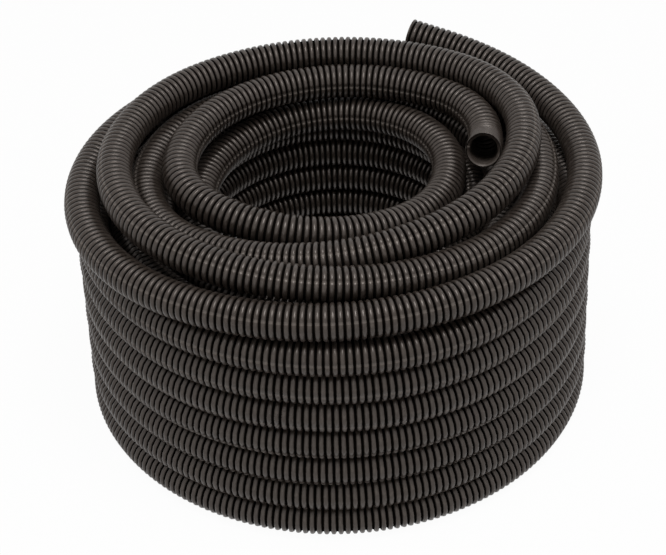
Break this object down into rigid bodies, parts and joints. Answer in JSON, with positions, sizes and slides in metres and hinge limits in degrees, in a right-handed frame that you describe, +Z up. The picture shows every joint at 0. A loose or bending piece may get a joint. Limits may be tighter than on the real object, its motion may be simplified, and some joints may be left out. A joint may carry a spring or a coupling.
{
  "type": "corrugated conduit",
  "caption": "Coil of black slit corrugated conduit, close wound in rows and layers, with loose turns on top and two open ends.",
  "frame": {"origin": "on the floor, on the axis of the wound body, at the middle of the coil's eye", "axes": "+Z up along the coil's axis; the inner open end points to -Y and up; the raised end leaves at +X +Y"},
  "size_m": [0.3656, 0.362, 0.2114],
  "materials": {
    "conduit": "semi-gloss moulded black polyethylene"
  },
  "bodies": {
    "root": {"conduit": "conduit"}
  },
  "joints": []
}
